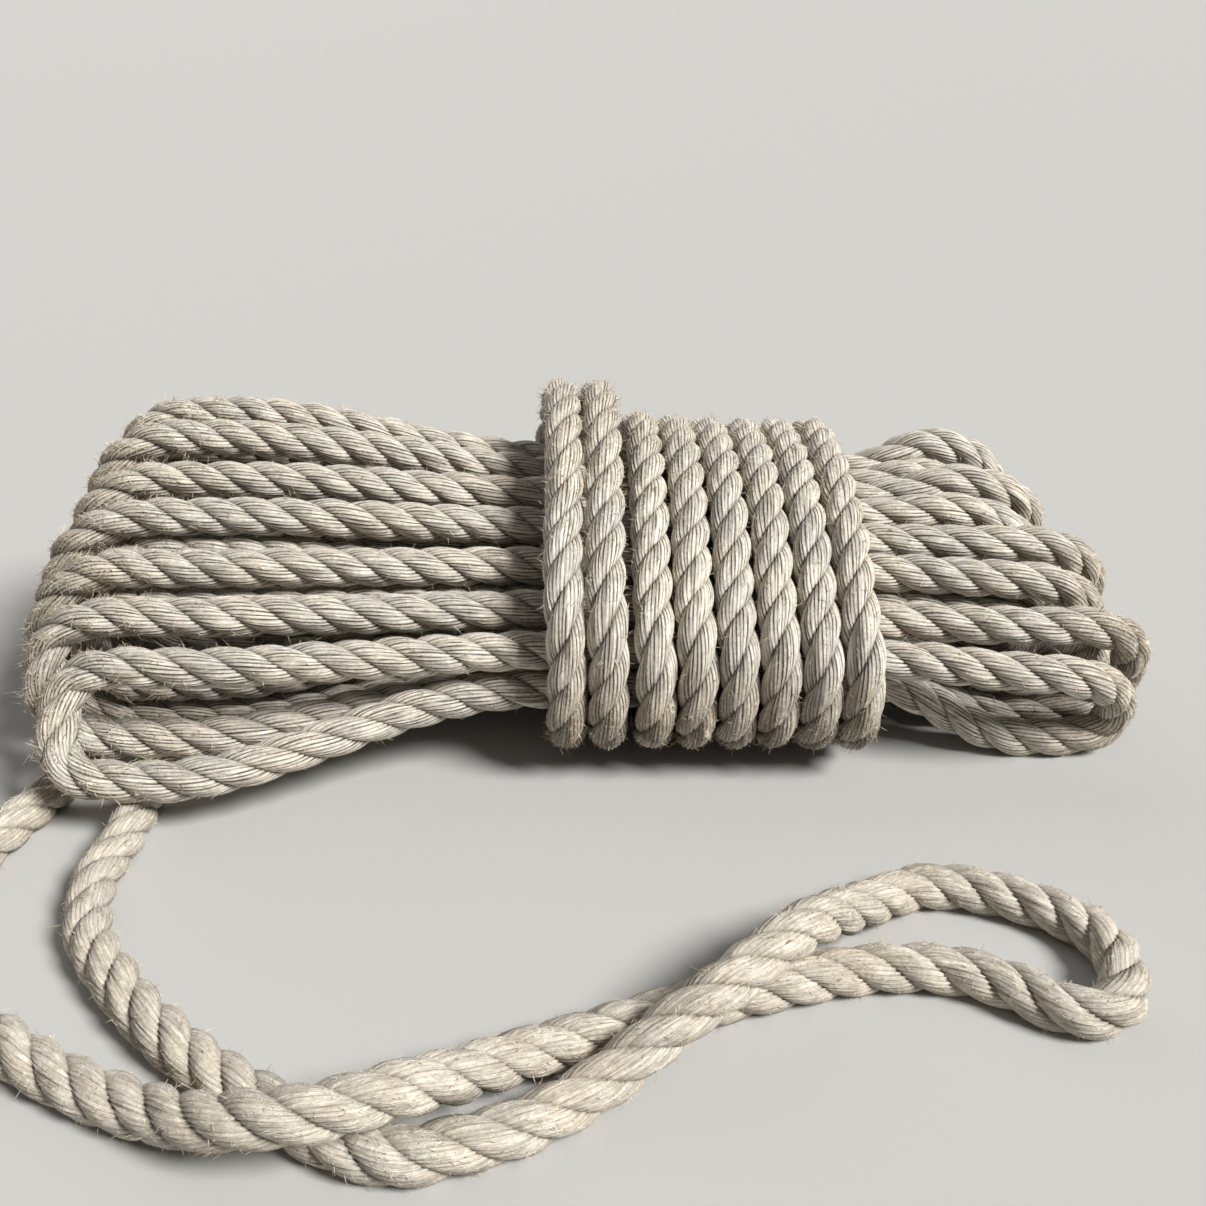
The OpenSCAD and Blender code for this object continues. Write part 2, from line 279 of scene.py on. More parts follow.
# the doubled end's route on the floor, in millimetres on the routes' own axes
DOUBLED_END = np.array([
    [-115, -38, 5], [-112, -65, 5], [-112, -76, 5], [-113, -88, 5], [-111, -99, 5],
    [-107, -110, 5], [-99, -120, 5], [-90, -130, 5], [-81, -138, 5], [-72, -145, 5],
    [-63, -151, 5], [-53, -157, 5], [-43, -162, 5], [-34, -164, 5], [-26, -162, 5],
    [-17, -159, 5], [-8, -154, 5], [1, -148, 6.5], [10, -142, 10], [20, -136, 14],
    [30, -128, 16], [40, -118, 15.5], [50, -107, 10], [60, -98, 6], [69, -93, 5],
    [78, -93, 5], [88, -96, 5], [97, -101, 5], [104, -109, 5], [105, -118, 5],
    [102, -127, 5], [95, -131, 5], [88, -129, 5], [81, -123, 5], [71, -119, 5],
    [61, -118, 5], [50, -119, 5], [39, -122, 5], [29, -125, 5], [19, -128, 5],
    [9, -132, 5], [0, -136, 5], [-10, -140, 5.5], [-18, -145, 7.5], [-26, -152, 11],
    [-34, -158, 14.5], [-42, -163, 16], [-51, -165, 16], [-60, -164, 14], [-69, -161, 10],
    [-79, -156, 6.5], [-90, -151, 5], [-102, -145, 5], [-115, -137, 5], [-128, -127, 5],
    [-139, -114, 5], [-144, -100, 5], [-144, -88, 5], [-141, -76, 5], [-138, -64, 5],
    [-135, -52, 5], [-132, -38, 5]], float)


def through(points, count=12):
    """Catmull-Rom curve through the points."""
    p = np.concatenate([[2 * points[0] - points[1]], points, [2 * points[-1] - points[-2]]])
    t = np.linspace(0, 1, count, endpoint=False)[None, :, None]
    a, b, c, d = (p[i:len(p) - 3 + i, None, :] for i in range(4))
    q = 0.5 * (2 * b + (c - a) * t + (2 * a - 5 * b + 4 * c - d) * t**2
               + (3 * b - a - 3 * c + d) * t**3)
    return np.concatenate([q.reshape(-1, 3), points[-1:]])


def even(points, step):
    """The same line with its points a set distance apart, and their distances."""
    keep = np.r_[True, np.linalg.norm(np.diff(points, axis=0), axis=1) > 1e-4]
    points = points[keep]
    s = np.r_[0, np.cumsum(np.linalg.norm(np.diff(points, axis=0), axis=1))]
    at = np.linspace(0, s[-1], int(round(s[-1] / step)) + 1)
    return np.stack([np.interp(at, s, points[:, i]) for i in range(3)], 1), at


def softened(points, step, width):
    """A running mean with a bell-shaped weight, its ends held."""
    half = int(3 * width / step)
    w = np.exp(-0.5 * (np.arange(-half, half + 1) * step / width) ** 2)
    w /= w.sum()
    head = 2 * points[0] - points[half:0:-1]
    tail = 2 * points[-1] - points[-2:-half - 2:-1]
    full = np.concatenate([head, points, tail])
    return np.stack([np.convolve(full[:, i], w, "valid") for i in range(3)], 1)


# ---- one dense centre line for the whole rope, another for the doubled end ----
STEP = 1.0


def to_row(points):
    """From the routes' axes to the frame's, with the rope pressed onto the floor."""
    return points - CENTRE - np.array([0, 0, REST])


def wavy(s, seed, longest, amount):
    """A slow smooth wander: three sines of falling length with fixed random phases."""
    rng = np.random.default_rng(seed)
    total = 0 * s
    for i in range(3):
        total = total + np.sin(2 * np.pi * s / (longest / 1.7**i) + rng.uniform(0, 6.28)) / 1.4**i
    return amount * total / 2


def carried_frame(points):
    """Tangents, and normals carried along without twist, each from the one before."""
    t = unit(np.gradient(points, axis=0))
    normals = np.empty_like(t)
    n = np.array([0.0, 0.0, 1.0])
    for i, ti in enumerate(t):
        n = n - ti * (n @ ti)
        n = n / math.sqrt(n @ n)
        normals[i] = n
    return t, normals, np.cross(t, normals)


def centre_line(points, seed, lay):
    """Even, softened and slightly wandering centre line with its carried frame."""
    p = softened(even(points, STEP)[0], STEP, 2.5)
    p, s = even(p, STEP)
    away = np.stack([wavy(s, seed + i, 70.0, 0.16) for i in range(3)], 1)
    p = to_row(p + away)
    t, n, b = carried_frame(p)
    return {"s": s, "p": p, "t": t, "n": n, "b": b, "lay": lay, "seed": seed}


loops_points, loop_starts = hank_route()
rope_line = centre_line(np.concatenate([loops_points, turns_route()[1:]]), 3, HANK_LAY)
bight_line = centre_line(through(DOUBLED_END), 11, LOOSE_LAY)


def look_up(line, s, key):
    return np.stack([np.interp(s, line["s"], line[key][:, i]) for i in range(3)], -1)


def strand_centres(line, s):
    """Each strand's centre, way and outward direction: a right-handed helix round the
    centre line, C + off (cos f N + sin f B), f growing by a full turn each lay."""
    p, t, n, b = (look_up(line, s, key) for key in "ptnb")
    lay, seed = line["lay"], 10 * line["seed"]
    f = 2 * np.pi * s / lay + wavy(s, seed, 160.0, 0.25)
    f = f[:, None] + 2 * np.pi * np.arange(STRANDS) / STRANDS
    off = STRAND_OFF + np.stack([wavy(s, seed + 5 + k, 55.0, 0.06) for k in range(STRANDS)], 1)
    out = np.cos(f)[..., None] * n[:, None] + np.sin(f)[..., None] * b[:, None]
    round_way = -np.sin(f)[..., None] * n[:, None] + np.cos(f)[..., None] * b[:, None]
    centre = p[:, None] + off[..., None] * out
    way = unit(t[:, None] + (off * 2 * np.pi / lay)[..., None] * round_way)
    out = unit(out - way * (out * way).sum(-1, keepdims=True))
    return centre, way, out, f


def strand_rings(line, s):
    """Rings round the three strands: (H + d) cos q E + (W + d) sin q F, where q follows
    the yarns and d rises and falls once for each yarn."""
    sides = 2 * YARNS
    centre, way, out, f = strand_centres(line, s)
    side = np.cross(way, out)
    rng = np.random.default_rng(line["seed"] + 20)
    j = np.arange(sides)
    crest = np.where(j % 2 == 0, 1.0, -1.0)
    lift = rng.normal(0, 0.06, (STRANDS, sides)) * (j % 2 == 0)
    phase = rng.uniform(0, 6.28, (STRANDS, sides))
    sway = (0.065 * np.sin(s[:, None, None] / 5.3 + phase)
            + 0.045 * np.sin(s[:, None, None] / 2.9 + 1.7 * phase))
    swell = 0.045 * np.sin(s[:, None, None] / 4.1 + 2.3 * phase)
    q = 2 * np.pi * j / sides + YARN_TWIST * f[..., None] + sway
    d = YARN_DEPTH * crest + lift + swell
    ring = (centre[:, :, None] + ((STRAND_HIGH + d) * np.cos(q))[..., None] * out[:, :, None]
            + ((STRAND_WIDE + d) * np.sin(q))[..., None] * side[:, :, None])
    return ring, q, f


def grid_faces(rings, strands, sides):
    """Quads between neighbouring rings of each strand, the last side joined to the first."""
    i, k, j = np.meshgrid(np.arange(rings - 1), np.arange(strands), np.arange(sides),
                          indexing="ij")
    at = lambda a, b: (a * strands + k) * sides + b % sides
    return np.stack([at(i, j), at(i, j + 1), at(i + 1, j + 1), at(i + 1, j)], -1).reshape(-1, 4)


def fill_mesh(name, verts, quads, caps):
    """A mesh from vertices in millimetres, four-sided faces and many-sided end caps."""
    mesh = bpy.data.meshes.new(name)
    mesh.vertices.add(len(verts))
    mesh.vertices.foreach_set("co", (verts * MM).astype(np.float32).ravel())
    cap_corners = np.concatenate(caps) if caps else np.zeros(0, int)
    sizes = np.r_[np.full(len(quads), 4), [len(c) for c in caps]].astype(np.int32)
    corners = np.concatenate([quads.ravel(), cap_corners]).astype(np.int32)
    mesh.loops.add(len(corners))
    mesh.loops.foreach_set("vertex_index", corners)
    mesh.polygons.add(len(sizes))
    mesh.polygons.foreach_set("loop_start", np.r_[0, np.cumsum(sizes)[:-1]].astype(np.int32))
    smooth = np.r_[np.ones(len(quads), bool), np.zeros(len(caps), bool)]
    mesh.polygons.foreach_set("use_smooth", smooth)
    mesh.update(calc_edges=True)
    obj = bpy.data.objects.new(name, mesh)
    bpy.context.scene.collection.objects.link(obj)
    return obj


def put_attribute(mesh, name, kind, values):
    layer = mesh.attributes.new(name, kind, "POINT")
    layer.data.foreach_set("vector" if kind == "FLOAT_VECTOR" else "value",
                           values.astype(np.float32).ravel())


def strip_uvs(mesh, s, strands, sides, quads, caps):
    """The strands' skins cut into strips of equal length and stacked as rows."""
    reach = (s[-1] - s[0]) * STRAND_STRETCH
    round_len = np.pi * (STRAND_HIGH + STRAND_WIDE)
    rows = max(int(math.ceil(math.sqrt(strands * reach / round_len))), 1)
    width = strands * reach / rows
    i, k, j = np.meshgrid(np.arange(len(s) - 1), np.arange(strands), np.arange(sides),
                          indexing="ij")
    start = (s[i] - s[0]) * STRAND_STRETCH + k * reach
    row = np.minimum(np.floor(start / width), rows - 1)
    u0 = (start - row * width) / width
    u1 = u0 + (s[i + 1] - s[i]) * STRAND_STRETCH / width
    squeeze = 1 / (1 + 3 / width)
    v0, v1 = (row + 0.06 + 0.88 * j / sides) / rows, (row + 0.06 + 0.88 * (j + 1) / sides) / rows
    uv = np.stack([np.stack([u0 * squeeze, v0], -1), np.stack([u0 * squeeze, v1], -1),
                   np.stack([u1 * squeeze, v1], -1), np.stack([u1 * squeeze, v0], -1)], -2)
    rounds = [np.arange(len(c)) for c in caps]
    cap_uvs = [0.004 + 0.002 * np.stack([np.cos(r), np.sin(r)], 1) for r in rounds]
    flat = np.concatenate([uv.reshape(-1, 2)] + cap_uvs)
    layer = mesh.uv_layers.new(name="OFBake")
    layer.data.foreach_set("uv", flat.astype(np.float32).ravel())


def soil_and_shade(points, kind):
    """Where the rope is browner: dirty at the folds at both ends and on the tops of the turns,
    and painted shade, darker and browner towards the bottom of the turns.
    """
    x, y, z = points[..., 0], points[..., 1], points[..., 2]
    if kind == "loops":
        ends = ease((-118 - x) / 26) + ease((x - 112) / 30)
        return 0.42 * ends + 0.10
    if kind == "turns":
        # painted shade: the 0.85 term darkens and browns the turns towards the bottom, where less
        # light falls; the 0.14 term is dirty fuzz on their tops
        return 0.14 * ease((z - 66) / 14) + 0.85 * ease((38 - z) / 28) + 0.05
    return 0.27 + 0 * x


def ring_places(line, spans, step, kind):
    """Distances of the rings along spans of (from, to, hidden): close together where
    the rope shows, further apart where it lies inside others or under the turns."""
    s = np.linspace(spans[0][0], spans[-1][1], int(spans[-1][1] - spans[0][0]) + 2)
    gap = np.full(len(s), step)
    for a, b, hidden in spans:
        gap[(s >= a) & (s < b) & hidden] = HIDDEN_STEP
    if kind == "loops":
        x = look_up(line, s, "p")[:, 0] + CENTRE[0]
        gap[(x > WAIST_L + 4) & (x < WAIST_R - 4)] = COVERED_STEP
    count = np.r_[0, np.cumsum(np.diff(s) / ((gap[1:] + gap[:-1]) / 2))]
    return np.interp(np.linspace(0, count[-1], int(round(count[-1])) + 1), count, s)


def laid_rope(name, line, spans, node, kind, step=RING_STEP):
    """A stretch of the rope as three laid strands, closed at both ends."""
    s = ring_places(line, spans, step, kind)
    ring, q, f = strand_rings(line, s)
    ring[..., 2] = np.maximum(ring[..., 2], FLOOR_CLEAR)
    sides = ring.shape[2]
    quads = grid_faces(len(s), STRANDS, sides)
    base = np.arange(STRANDS)[:, None] * sides + np.arange(sides)
    caps = list(base[:, ::-1]) + list(base + (len(s) - 1) * STRANDS * sides)
    obj = fill_mesh(name, ring.reshape(-1, 3), quads, caps)
    mesh = obj.data
    j = np.arange(sides) * 2 * np.pi / sides
    yarn = np.empty(ring.shape)
    yarn[..., 0] = YARN_ROUND * np.cos(j) + STRAND_APART * np.arange(STRANDS)[None, :, None]
    yarn[..., 1] = YARN_ROUND * np.sin(j)
    yarn[..., 2] = s[:, None, None] * STRAND_STRETCH
    put_attribute(mesh, "yarn", "FLOAT_VECTOR", yarn)
    open_lay = 0.62 if kind == "bight" else 1.0     # its yarns lie closer, not under load
    # the valleys between yarns, where the material paints dark lines of shade
    put_attribute(mesh, "between", "FLOAT",
                  np.broadcast_to(np.arange(sides) % 2 * open_lay, q.shape))
    # painted shade: rises from a strand's outer crest into the grooves between strands, where the
    # material darkens the skin
    put_attribute(mesh, "groove_shade", "FLOAT", ease((0.40 - np.cos(q)) / 0.65))
    put_attribute(mesh, "soil_and_shade", "FLOAT", soil_and_shade(ring, kind))
    strip_uvs(mesh, s, STRANDS, sides, quads, caps)
    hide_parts(node)
    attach(obj, "root")
    return obj


# ---- camera ----
FRAME_PX, FOCAL_PX = 1206, 1250       # width of the frame, and focal length in its pixels
EYE_BACK, EYE_HIGH, LOOK_DOWN = 313, 182, 26
camera = bpy.data.cameras.new("camera")
camera.lens = 36 * FOCAL_PX / FRAME_PX
camera.clip_start = 0.01
camera.clip_end = 60
camera_object = bpy.data.objects.new("camera", camera)
camera_object.location = (-CENTRE[0] * MM, (-EYE_BACK - CENTRE[1]) * MM,
                          (EYE_HIGH - REST) * MM)
camera_object.rotation_euler = (math.radians(90 - LOOK_DOWN), 0, 0)
bpy.context.scene.collection.objects.link(camera_object)
bpy.context.scene.camera = camera_object


# ---- the rope, stretch by stretch; the cuts lie inside the turns ----
def crossing(line, after, x):
    """First place after a distance along the line where it passes an X going left."""
    px = line["p"][:, 0]
    hit = (px[:-1] >= x) & (px[1:] < x) & (line["s"][:-1] > after)
    return line["s"][:-1][hit][0]


loops_len = np.linalg.norm(np.diff(loops_points, axis=0), axis=1)
loops_at = np.r_[0, np.cumsum(loops_len)]
scale_len = rope_line["s"][-1] / (loops_at[-1] + np.linalg.norm(np.diff(turns_route(), axis=0),
                                                                 axis=1).sum())
cut_x = 35 - CENTRE[0]                        # under the turns, where no cut shows
first_of_column = [0, 2, 4, 6, 8, 10, 12]     # the first two columns share a piece
cuts = [0.0] + [crossing(rope_line, loops_at[loop_starts[i]] * scale_len - 15, cut_x)
                for i in first_of_column[1:]]
join_s = loops_at[-1] * scale_len
names = ["loops_front", "loops_third", "loops_fourth", "loops_fifth", "loops_sixth",
         "loops_seventh", "loops_rear"]


def hidden_spans(a, b, loops):
    """The stretch from a to b, its loops inside others marked hidden."""
    order = laying_order()
    edges = [a] + [crossing(rope_line, loops_at[loop_starts[i]] * scale_len - 15, cut_x)
                   for i in loops[1:]] + [b]
    return [(x, y, LOOPS_IN[order[i][0]] > 1 and order[i][1] == 0)
            for x, y, i in zip(edges, edges[1:], loops)]


ropes = []
for name, a, b, first in zip(names, cuts, cuts[1:] + [join_s], first_of_column):
    spans = hidden_spans(a, b, [first, first + 1])
    ropes.append(laid_rope(name, rope_line, spans, "hank_loops", "loops"))
end_s = rope_line["s"][-1]
turns_mid = (join_s + end_s) / 2
ropes.append(laid_rope("turns_right", rope_line, [(join_s, turns_mid, False)], "waist_turns",
                       "turns"))
ropes.append(laid_rope("turns_left", rope_line, [(turns_mid, end_s, False)], "waist_turns",
                       "turns"))
ropes.append(laid_rope("doubled_end", bight_line, [(0.0, bight_line["s"][-1], False)],
                       "loose_bight", "bight", LOOSE_RING_STEP))


# ---- materials ----
def srgb(r, g, b):
    """Linear colour of an eight-bit display colour."""
    c = np.array([r, g, b]) / 255
    return tuple(np.where(c <= 0.04045, c / 12.92, ((c + 0.055) / 1.055) ** 2.4)) + (1.0,)


def node(tree, kind, links=(), **settings):
    """A node with its settings; links give (input, value or output socket)."""
    made = tree.nodes.new(kind)
    for key, value in settings.items():
        setattr(made, key, value)
    for key, value in links:
        if isinstance(value, bpy.types.NodeSocket):
            tree.links.new(value, made.inputs[key])
        else:
            made.inputs[key].default_value = value
    return made


def new_material(name, **sockets):
    material = bpy.data.materials.new(name)
    material.use_nodes = True
    shader = material.node_tree.nodes["Principled BSDF"]
    for key, value in sockets.items():
        shader.inputs[key.replace("_", " ")].default_value = value
    return material, material.node_tree, shader


def streaks(tree, vector, scale, detail, rough=0.55):
    """Noise on the yarns' own coordinates, stretched along them."""
    placed = node(tree, "ShaderNodeMapping", [("Vector", vector), ("Scale", scale)])
    return node(tree, "ShaderNodeTexNoise", [("Vector", placed.outputs[0]), ("Scale", 1.0),
                ("Detail", detail), ("Roughness", rough)]).outputs["Fac"]


def spread(tree, value, low, high, to_low, to_high):
    return node(tree, "ShaderNodeMapRange", [("Value", value), ("From Min", low),
                ("From Max", high), ("To Min", to_low), ("To Max", to_high)]).outputs[0]


def blended(tree, how, factor, a, b):
    made = node(tree, "ShaderNodeMix", data_type="RGBA", blend_type=how)
    for key, value in ((0, factor), (6, a), (7, b)):
        if isinstance(value, bpy.types.NodeSocket):
            tree.links.new(value, made.inputs[key])
        else:
            made.inputs[key].default_value = value
    return made.outputs[2]


def times(tree, a, b):
    return node(tree, "ShaderNodeMath", [(0, a), (1, b)], operation="MULTIPLY").outputs[0]


def curls(tree, vector, scale, width, seed):
    """Thin curled lines: where a noise, stretched along the yarns, passes its middle."""
    placed = node(tree, "ShaderNodeMapping", [("Vector", vector), ("Scale", scale),
                  ("Location", (seed, 3.1 * seed, 1.7 * seed))])
    field = node(tree, "ShaderNodeTexNoise", [("Vector", placed.outputs[0]), ("Scale", 1.0),
                 ("Detail", 1.5), ("Distortion", 0.9)]).outputs["Fac"]
    off = node(tree, "ShaderNodeMath", [(0, field), (1, 0.5)], operation="SUBTRACT").outputs[0]
    away = node(tree, "ShaderNodeMath", [(0, off)], operation="ABSOLUTE").outputs[0]
    return spread(tree, away, 0.0, width, 1.0, 0.0)


def laid_fibre():
    """Silky grey-beige fibre: each yarn its own tone, fine streaks along it, painted shade
    as dark lines between yarns and darker towards the grooves between strands, browner
    where it is dirty and, as painted shade, low on the turns, and curled fibres lying on
    the skin where it is worn."""
    material, tree, shader = new_material("laid_fibre", Roughness=0.5, Specular_IOR_Level=0.45,
                                          Sheen_Weight=0.1, Sheen_Roughness=0.4)
    yarn = node(tree, "ShaderNodeAttribute", attribute_name="yarn").outputs["Vector"]
    between = node(tree, "ShaderNodeAttribute", attribute_name="between").outputs["Fac"]
    groove_shade = node(tree, "ShaderNodeAttribute", attribute_name="groove_shade").outputs["Fac"]
    soil_and_shade_amount = node(tree, "ShaderNodeAttribute", attribute_name="soil_and_shade").outputs["Fac"]
    place = node(tree, "ShaderNodeTexCoord").outputs["Object"]

    fine = streaks(tree, yarn, (5.5, 5.5, 0.22), 3.0)
    tuft = streaks(tree, yarn, (2.2, 2.2, 0.34), 2.0)
    tone = streaks(tree, yarn, (1.1, 1.1, 0.035), 1.0)
    tint = node(tree, "ShaderNodeTexNoise", [("Vector", place), ("Scale", 60.0),
                ("Detail", 2.0)]).outputs["Fac"]
    speck = node(tree, "ShaderNodeTexNoise", [("Vector", place), ("Scale", 900.0),
                 ("Detail", 3.0), ("Roughness", 0.65)]).outputs["Fac"]
    broken = streaks(tree, yarn, (1.1, 1.1, 0.16), 2.0)
    fleck = node(tree, "ShaderNodeTexNoise", [("Vector", place), ("Scale", 150.0),
                 ("Detail", 2.0)]).outputs["Fac"]

    warm, cool, brown, dark = srgb(241, 230, 211), srgb(217, 215, 206), srgb(104, 84, 58), \
        srgb(38, 30, 21)
    colour = blended(tree, "MIX", spread(tree, tint, 0.40, 0.66, 0.0, 0.55), warm, cool)
    light = times(tree, spread(tree, tone, 0.3, 0.7, 0.84, 1.08),
                  spread(tree, tuft, 0.32, 0.68, 0.72, 1.17))
    streak = times(tree, spread(tree, fine, 0.3, 0.7, 0.82, 1.15),
                   spread(tree, speck, 0.35, 0.65, 0.84, 1.10))
    both = times(tree, light, streak)
    shade = node(tree, "ShaderNodeCombineColor", [(0, both), (1, both), (2, both)]).outputs[0]
    colour = blended(tree, "MULTIPLY", 1.0, colour, shade)
    # browner where the rope is dirty, and painted shade: darker and browner low on the turns
    dirt_and_shade = times(tree, soil_and_shade_amount, spread(tree, fleck, 0.3, 0.65, 0.45, 1.15))
    colour = blended(tree, "MIX", dirt_and_shade, colour, brown)
    # painted shade: dark broken lines in the valleys between yarns
    line = times(tree, spread(tree, between, 0.38, 0.86, 0.0, 1.0),
                 spread(tree, broken, 0.38, 0.56, 0.36, 0.97))
    colour = blended(tree, "MIX", line, colour, dark)
    # painted shade: dark brown towards the grooves between strands
    colour = blended(tree, "MIX", times(tree, groove_shade, 0.85), colour, srgb(58, 45, 30))
    pale_curls = curls(tree, yarn, (1.1, 1.1, 0.42), 0.030, 2.0)
    brown_curls = curls(tree, yarn, (0.9, 0.9, 0.50), 0.034, 9.0)
    worn = spread(tree, soil_and_shade_amount, 0.08, 0.5, 0.12, 0.70)
    colour = blended(tree, "MIX", times(tree, brown_curls, worn), colour, srgb(156, 130, 84))
    colour = blended(tree, "MIX", times(tree, pale_curls, worn), colour, srgb(240, 233, 214))
    tree.links.new(colour, shader.inputs["Base Color"])

    fibres = streaks(tree, yarn, (11.0, 11.0, 0.6), 3.0, 0.6)
    fibres = node(tree, "ShaderNodeMath", [(0, fibres), (1, times(tree, pale_curls, 0.5))],
                  operation="ADD").outputs[0]
    bump = node(tree, "ShaderNodeBump", [("Height", fibres), ("Strength", 0.8),
                ("Distance", 0.0002)])
    tree.links.new(bump.outputs[0], shader.inputs["Normal"])
    tree.links.new(spread(tree, fine, 0.3, 0.7, 0.58, 0.44), shader.inputs["Roughness"])
    return material


def loose_fibre():
    """Single hairs: a paler, yellower fibre with a little tone from hair to hair."""
    material, tree, shader = new_material("loose_fibre", Roughness=0.5, Specular_IOR_Level=0.4)
    place = node(tree, "ShaderNodeTexCoord").outputs["Object"]
    tone = node(tree, "ShaderNodeTexNoise", [("Vector", place), ("Scale", 260.0)]).outputs["Fac"]
    colour = blended(tree, "MIX", spread(tree, tone, 0.35, 0.65, 0.0, 1.0),
                     srgb(150, 124, 80), srgb(240, 231, 208))
    tree.links.new(colour, shader.inputs["Base Color"])
    return material


fibre = laid_fibre()
for rope in ropes:
    rope.data.materials.append(fibre)


# ---- loose hairs standing off the rope ----
rope_points = np.concatenate([rope_line["p"][::2], bight_line["p"][::2]])
rope_tree = kdtree.KDTree(len(rope_points))
for i, point in enumerate(rope_points):
    rope_tree.insert(point, i)
rope_tree.balance()


def hairs(name, line, count, seed, lengths, thick, wanted, parts=3, start=2.0,
          rise=(0.25, 1.1), bend=(0.1, 0.45), clear_of=4.9, facing=None):
    """Thin tapered three-sided hairs rooted on the strands' skins: each leaves along
    its yarn, rises and curls, C(t) = root + t L (a along + b out) + curl t^2. Hairs
    whose tips would lie inside the rope are dropped, and so are those that look away
    from the facing, where one is given."""
    rng = np.random.default_rng(seed)
    spine = np.zeros((0, parts + 1, 3))
    t = np.linspace(0, 1, parts + 1) ** 0.9
    while len(spine) < count:
        n = 2 * count
        s = rng.uniform(start, line["s"][-1] - 2, n)
        p = look_up(line, s, "p")
        s = np.sort(s[rng.uniform(0, 1, n) < wanted(p)])
        n = len(s)
        centre, way, out, f = strand_centres(line, s)
        pick = np.arange(n), rng.integers(0, STRANDS, n)
        centre, way, out = centre[pick], way[pick], out[pick]
        q = rng.normal(0, 0.9, n)[:, None]
        up = np.cos(q) * out + np.sin(q) * np.cross(way, out)
        root = centre + (STRAND_HIGH - 0.1) * up
        along = unit(way * rng.choice([-1, 1], n)[:, None] + 0.5 * rng.normal(0, 1, (n, 3)))
        lift = rng.uniform(*rise, n)[:, None]
        length = (lengths[0] + (lengths[1] - lengths[0]) * rng.beta(1.3, 3.2, n))[:, None]
        curl = unit(rng.normal(0, 1, (n, 3))) * length * rng.uniform(*bend, n)[:, None]
        lead = unit(along + lift * up)
        tried = (root[:, None] + lead[:, None] * (length * t)[..., None]
                 + curl[:, None] * (t**2)[None, :, None])
        outward = up @ np.array(facing) >= 0 if facing else np.ones(n, bool)
        clear = outward & np.array([rope_tree.find(a)[2] > clear_of
                          and rope_tree.find(b)[2] > clear_of - 0.2
                          for a, b in zip(tried[:, -1], tried[:, -2])])
        spine = np.concatenate([spine, tried[clear & (tried[:, :, 2].min(1) > 0.1)]])
    spine = spine[np.sort(rng.permutation(len(spine))[:count])]
    n, rings = len(spine), parts + 1
    way = unit(np.gradient(spine, axis=1))
    a = unit(np.cross(way, np.array([0.31, 0.17, 0.93])))
    b = np.cross(way, a)
    radius = rng.uniform(*thick, n)[:, None] * (1 - 0.8 * t**2)
    turn = 2 * np.pi * np.arange(3) / 3
    verts = (spine[:, :, None] + radius[:, :, None, None]
             * (np.cos(turn)[:, None] * a[:, :, None] + np.sin(turn)[:, None] * b[:, :, None]))
    i, m, j = np.meshgrid(np.arange(n), np.arange(parts), np.arange(3), indexing="ij")
    at = lambda m, j: (i * rings + m) * 3 + j % 3
    quads = np.stack([at(m, j), at(m, j + 1), at(m + 1, j + 1), at(m + 1, j)], -1).reshape(-1, 4)
    first = np.arange(n)[:, None] * 3 * rings
    caps = np.concatenate([first + np.array([2, 1, 0]),
                           first + 3 * parts + np.array([0, 1, 2])])
    obj = fill_mesh(name, verts.reshape(-1, 3), quads, list(caps))
    obj.data.materials.append(hair_material)
    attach(obj, "root")
    return obj


def anywhere(p):
    """The same chance of a hair everywhere."""
    return 0.35 + 0 * p[:, 0]


def worn_places(p):
    """Ends of the loops and tops of the turns are hairier than the rest."""
    return (0.10 + 0.9 * ease((-105 - p[:, 0]) / 25) + 0.5 * ease((p[:, 0] - 105) / 25)
            + 0.9 * ease((p[:, 2] - 62) / 12) + 0.25 * ease((30 - p[:, 2]) / 20))


def left_folds(p):
    """The folds at the left end are hairiest of all."""
    return 0.02 + 0.98 * ease((-88 - p[:, 0]) / 45)


def round_turns(p):
    """The turns are hairiest on top, and somewhat underneath."""
    return 0.22 + 0.75 * ease((p[:, 2] - 48) / 24) + 0.30 * ease((26 - p[:, 2]) / 16)


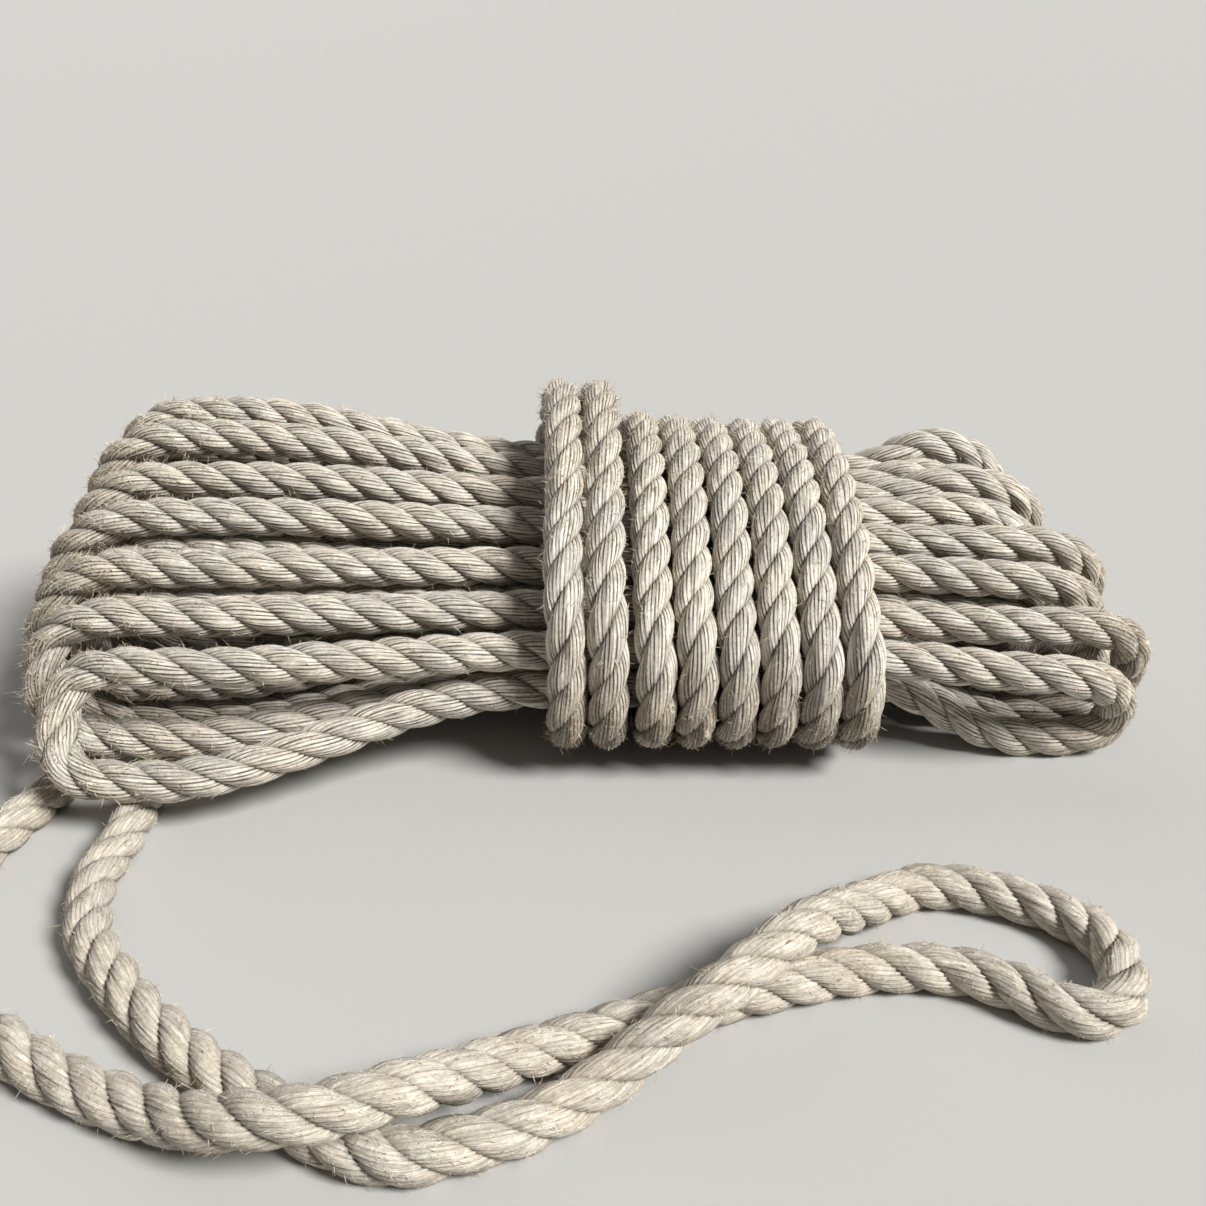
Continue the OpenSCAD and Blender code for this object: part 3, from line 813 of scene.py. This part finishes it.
hair_material = loose_fibre()
hairs("hank_hairs", rope_line, 6500, 71, (0.9, 4.6), (0.055, 0.09), anywhere, parts=2)
hairs("left_fold_fuzz", rope_line, 13000, 75, (0.9, 3.6), (0.06, 0.105), left_folds, parts=2,
      rise=(0.08, 0.6), bend=(0.35, 1.1), clear_of=4.4, facing=(-0.75, -0.3, 0.6))
hairs("hank_fuzz", rope_line, 13500, 72, (0.8, 3.2), (0.055, 0.095), worn_places, parts=2,
      rise=(0.12, 0.7), bend=(0.25, 0.8), clear_of=4.5)
hairs("turn_fuzz", rope_line, 12000, 74, (0.7, 2.8), (0.06, 0.10), round_turns, parts=2,
      start=join_s, rise=(0.12, 0.7), bend=(0.25, 0.8), clear_of=4.5)
hairs("doubled_end_hairs", bight_line, 3000, 73, (0.8, 3.4), (0.045, 0.075), anywhere, parts=2)

# ---- floor, light ----
FLOOR_REACH = 60
FILL, BACKDROP = 0.15, 0.62           # the world as a light, and as it is seen
corners = [(x * FLOOR_REACH, y * FLOOR_REACH, 0) for x, y in ((-1, -1), (1, -1), (1, 1), (-1, 1))]
floor_mesh = bpy.data.meshes.new("floor")
floor_mesh.from_pydata(corners, [], [(0, 1, 2, 3)])
floor = bpy.data.objects.new("floor", floor_mesh)
bpy.context.scene.collection.objects.link(floor)
floor_finish, floor_tree, floor_shader = new_material("floor_finish", Roughness=0.9,
                                                      Specular_IOR_Level=0.1)
floor_shader.inputs["Base Color"].default_value = srgb(180, 179, 175)
floor_mesh.materials.append(floor_finish)



def soft_sun(name, energy, angle, way):
    """A sun that lights along a direction, softened over an angle in degrees."""
    lamp = bpy.data.lights.new(name, "SUN")
    lamp.energy, lamp.angle = energy, math.radians(angle)
    lamp_object = bpy.data.objects.new(name, lamp)
    lamp_object.rotation_euler = Vector(way).to_track_quat("-Z", "Y").to_euler()
    bpy.context.scene.collection.objects.link(lamp_object)


soft_sun("soft_key", 5.3, 20, (-0.62, 0.38, -0.68))
soft_sun("back_fill", 0.8, 70, (0.50, -0.72, -0.48))

world = bpy.data.worlds.new("world")
world.use_nodes = True
sky = world.node_tree
background = sky.nodes["Background"]
background.inputs["Color"].default_value = (1, 1, 1, 1)
rays = node(sky, "ShaderNodeLightPath").outputs
seen = rays["Is Camera Ray"]
for ray in ("Is Glossy Ray", "Is Transmission Ray"):
    seen = node(sky, "ShaderNodeMath", [(0, seen), (1, rays[ray])], operation="MAXIMUM").outputs[0]
sky.links.new(spread(sky, seen, 0.0, 1.0, FILL, BACKDROP), background.inputs["Strength"])
bpy.context.scene.world = world
bpy.context.scene.view_settings.view_transform = "Standard"
